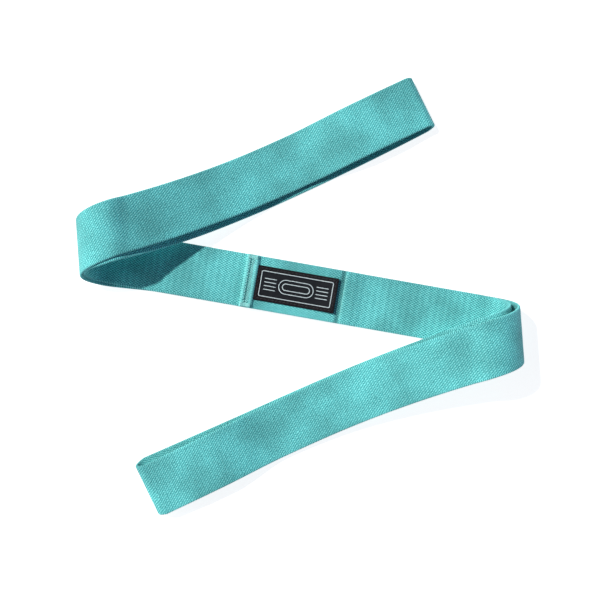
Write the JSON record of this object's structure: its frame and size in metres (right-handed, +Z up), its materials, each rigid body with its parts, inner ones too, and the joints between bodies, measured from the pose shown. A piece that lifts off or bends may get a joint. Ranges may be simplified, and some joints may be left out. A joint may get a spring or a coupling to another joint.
{
  "type": "long-loop fabric resistance band",
  "caption": "Long loop of woven elastic webbing with a sewn overlap seam and rubber label, laid flat and folded over at both ends into a Z; the runs fold open and stretch.",
  "frame": {"origin": "centre of the folded band's footprint, on the surface it lies on", "axes": "+Z up from the surface; +X along the straight middle run, label face up, towards the lower run's fold; +Y towards the upper run's free end"},
  "size_m": [0.3834, 0.3996, 0.0538],
  "materials": {
    "webbing": "woven elastic, turquoise polyester and cotton yarns",
    "rubber_strands": "natural latex, cut thread",
    "seam_thread": "turquoise polyester sewing thread",
    "label": "matte black moulded rubber",
    "label_relief": "light grey raised lines",
    "label_thread": "black polyester sewing thread"
  },
  "bodies": {
    "middle_run": {"middle_outer_webbing": "webbing", "middle_outer_rubber": "rubber_strands", "middle_inner_left_webbing": "webbing", "middle_inner_left_rubber": "rubber_strands", "seam_overlap_webbing": "webbing", "seam_overlap_rubber": "rubber_strands", "middle_inner_right_webbing": "webbing", "middle_inner_right_rubber": "rubber_strands", "upper_fold_outer_webbing": "webbing", "upper_fold_outer_rubber": "rubber_strands", "upper_fold_inner_webbing": "webbing", "upper_fold_inner_rubber": "rubber_strands", "lower_fold_outer_webbing": "webbing", "lower_fold_outer_rubber": "rubber_strands", "lower_fold_inner_webbing": "webbing", "lower_fold_inner_rubber": "rubber_strands", "seam_stitches": "seam_thread", "seam_bartacks": "seam_thread", "label_patch": "label", "label_frame": "label_relief", "label_emblem": "label_relief", "label_stitches": "label_thread"},
    "upper_run": {"upper_run_outer_webbing": "webbing", "upper_run_outer_rubber": "rubber_strands", "upper_stretch_outer_webbing": "webbing", "upper_stretch_outer_rubber": "rubber_strands", "upper_run_inner_webbing": "webbing", "upper_run_inner_rubber": "rubber_strands", "upper_stretch_inner_webbing": "webbing", "upper_stretch_inner_rubber": "rubber_strands"},
    "upper_end": {"upper_hairpin_webbing": "webbing", "upper_hairpin_rubber": "rubber_strands"},
    "lower_run": {"lower_run_outer_webbing": "webbing", "lower_run_outer_rubber": "rubber_strands", "lower_stretch_outer_webbing": "webbing", "lower_stretch_outer_rubber": "rubber_strands", "lower_run_inner_webbing": "webbing", "lower_run_inner_rubber": "rubber_strands", "lower_stretch_inner_webbing": "webbing", "lower_stretch_inner_rubber": "rubber_strands"},
    "lower_end": {"lower_hairpin_webbing": "webbing", "lower_hairpin_rubber": "rubber_strands"}
  },
  "joints": [
    {"name": "upper_fold", "type": "hinge", "parent": "middle_run", "child": "upper_run", "pos_m": [-0.18969, 0.00906, 0.0255], "axis": [0.2436, -0.9699, 0], "range_deg": [0, 180], "deforming": ["upper_fold_outer_webbing", "upper_fold_outer_rubber", "upper_fold_inner_webbing", "upper_fold_inner_rubber"]},
    {"name": "upper_stretch", "type": "slide", "parent": "upper_run", "child": "upper_end", "axis": [0.808, 0.5892, 0], "range_m": [0, 0.15], "stiffness_N_per_m": 700, "deforming": ["upper_stretch_outer_webbing", "upper_stretch_outer_rubber", "upper_stretch_inner_webbing", "upper_stretch_inner_rubber"]},
    {"name": "lower_fold", "type": "hinge", "parent": "middle_run", "child": "lower_run", "pos_m": [0.18996, 0.00453, 0.0269], "axis": [-0.2436, 0.9699, 0], "range_deg": [0, 180], "deforming": ["lower_fold_outer_webbing", "lower_fold_outer_rubber", "lower_fold_inner_webbing", "lower_fold_inner_rubber"]},
    {"name": "lower_stretch", "type": "slide", "parent": "lower_run", "child": "lower_end", "axis": [-0.808, -0.5892, 0], "range_m": [0, 0.15], "stiffness_N_per_m": 700, "deforming": ["lower_stretch_outer_webbing", "lower_stretch_outer_rubber", "lower_stretch_inner_webbing", "lower_stretch_inner_rubber"]}
  ]
}
